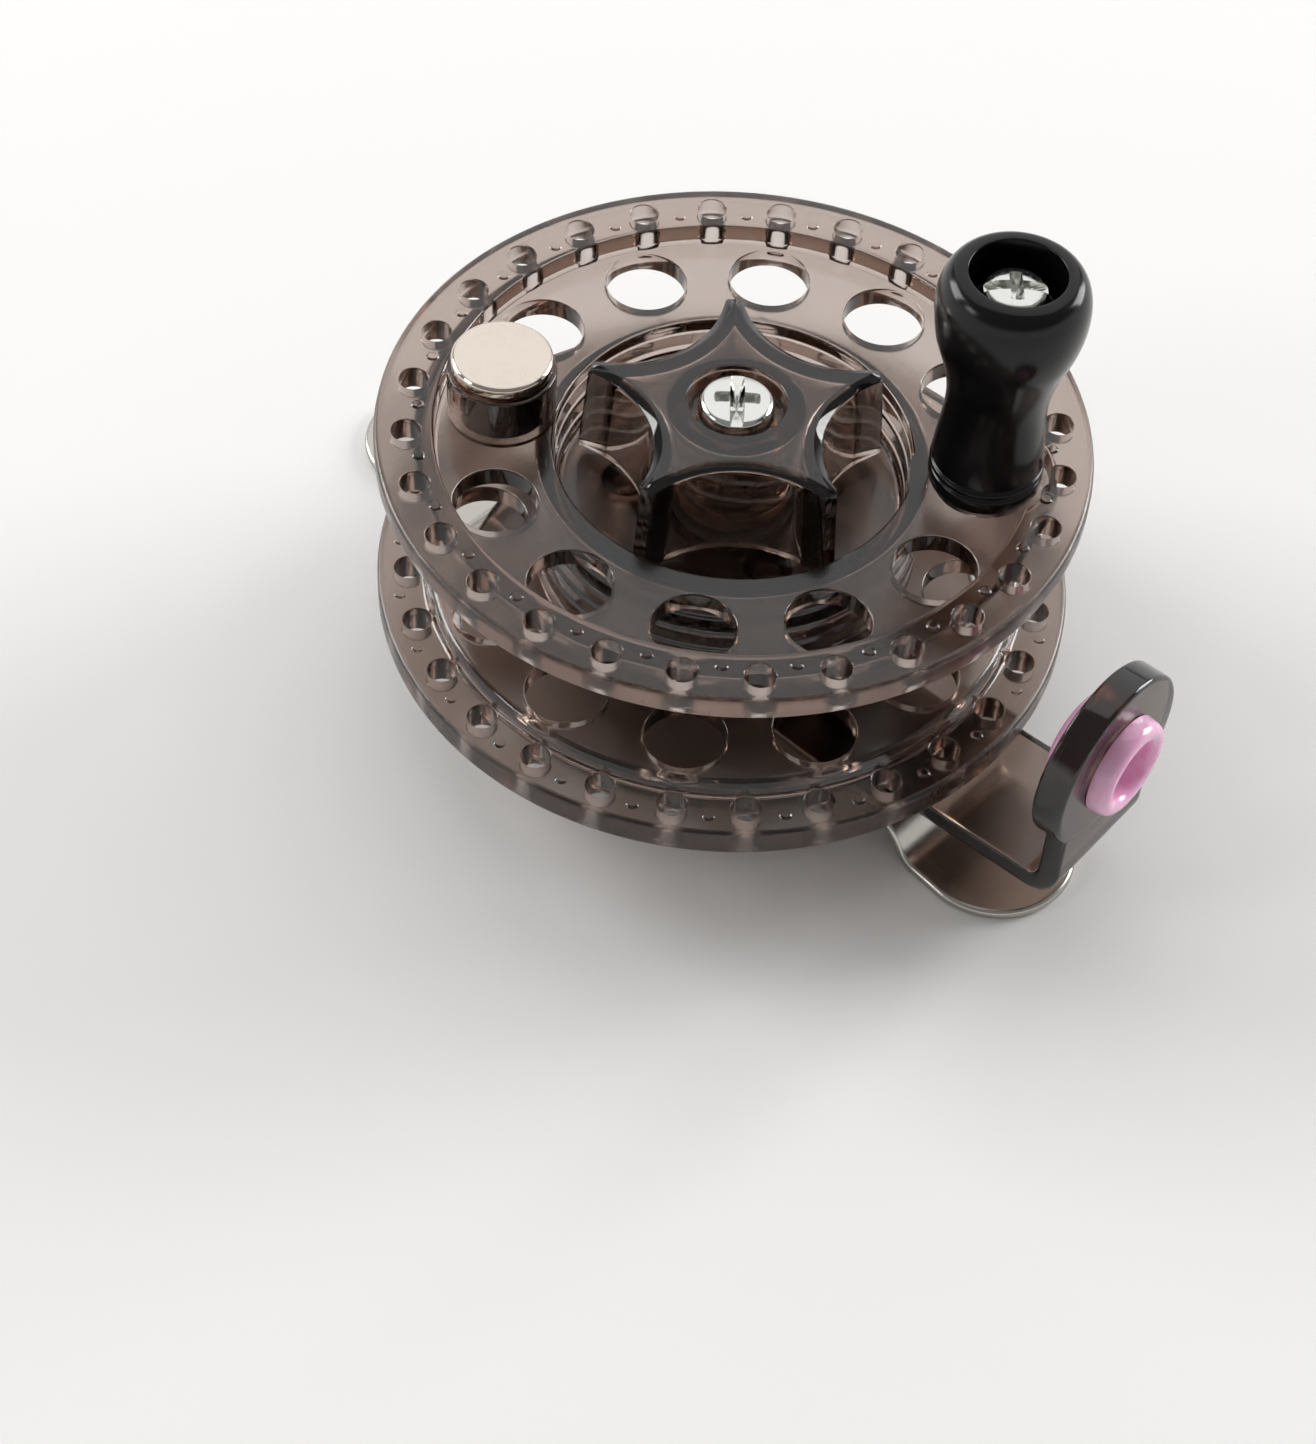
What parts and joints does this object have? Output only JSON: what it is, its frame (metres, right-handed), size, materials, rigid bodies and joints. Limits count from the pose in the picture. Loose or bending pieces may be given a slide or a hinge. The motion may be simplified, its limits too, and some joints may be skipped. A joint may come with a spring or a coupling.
{
  "type": "fly reel",
  "caption": "Small side-mount fly reel: smoky clear ported spool with a star drag knob, black handle, counterweight, guide arm with a pink ring, and a steel rod foot.",
  "frame": {"origin": "on the spool's axis, in the plane of the rod foot's underside", "axes": "+Z along the spool's axis towards the handle side, +X along the guide arm towards the rod's tip, +Y completes the right-handed frame"},
  "size_m": [0.0852, 0.06, 0.0492],
  "materials": {
    "smoky_polycarbonate": "clear, smoke grey, polished",
    "black_nylon": "black, glossy",
    "stainless_steel": "satin",
    "zinc_plated_steel": "bright zinc",
    "nickel_plated_brass": "polished edge, satin top",
    "pink_ceramic": "glazed, pink",
    "brass": "turned",
    "grey_felt": "pressed felt",
    "black_acetal": "moulded"
  },
  "bodies": {
    "frame": {"rod_foot": "stainless_steel", "back_plate": "smoky_polycarbonate", "guide_ring": "pink_ceramic", "foot_screw_front": "zinc_plated_steel", "foot_screw_rear": "zinc_plated_steel", "spindle": "stainless_steel", "spindle_nut": "zinc_plated_steel", "bearing_inner_rear": "stainless_steel", "bearing_inner_front": "stainless_steel", "bearing_spacer": "brass", "bearing_circlip": "stainless_steel", "pressure_washer": "stainless_steel", "drag_spring": "stainless_steel", "centre_screw": "zinc_plated_steel"},
    "spool": {"spool_front": "smoky_polycarbonate", "spool_rear": "smoky_polycarbonate", "ratchet_gear": "black_acetal", "spool_screw_1": "zinc_plated_steel", "spool_screw_2": "zinc_plated_steel", "spool_screw_3": "zinc_plated_steel", "bearing_outer_rear": "stainless_steel", "bearing_outer_front": "stainless_steel", "handle_sleeve": "stainless_steel", "handle_screw": "zinc_plated_steel", "counterweight": "nickel_plated_brass", "drag_felt": "grey_felt"},
    "handle": {"handle_knob": "black_nylon"},
    "drag": {"star_knob": "smoky_polycarbonate", "knob_insert_nut": "brass"},
    "click": {"click_slider": "black_acetal", "pawl_spring": "stainless_steel"},
    "pawl": {"click_pawl": "black_acetal"}
  },
  "joints": [
    {"name": "spool_spin", "type": "hinge", "parent": "frame", "child": "spool", "pos_m": [0, 0, 0.016], "axis": [0, 0, 1], "continuous": true},
    {"name": "handle_spin", "type": "hinge", "parent": "spool", "child": "handle", "pos_m": [0.01809, 0.01066, 0.0266], "axis": [0, 0, 1], "continuous": true},
    {"name": "drag_turn", "type": "hinge", "parent": "frame", "child": "drag", "pos_m": [0, 0, 0.022], "axis": [0, 0, 1], "range_deg": [-135, 135]},
    {"name": "click_slide", "type": "slide", "parent": "frame", "child": "click", "axis": [0, -1, 0], "range_m": [0, 0.0016]},
    {"name": "pawl_swing", "type": "hinge", "parent": "click", "child": "pawl", "pos_m": [0, 0.0172, 0.008], "axis": [0, 0, 1], "range_deg": [-8, 8], "stiffness_Nm_per_rad": 0.0005}
  ]
}
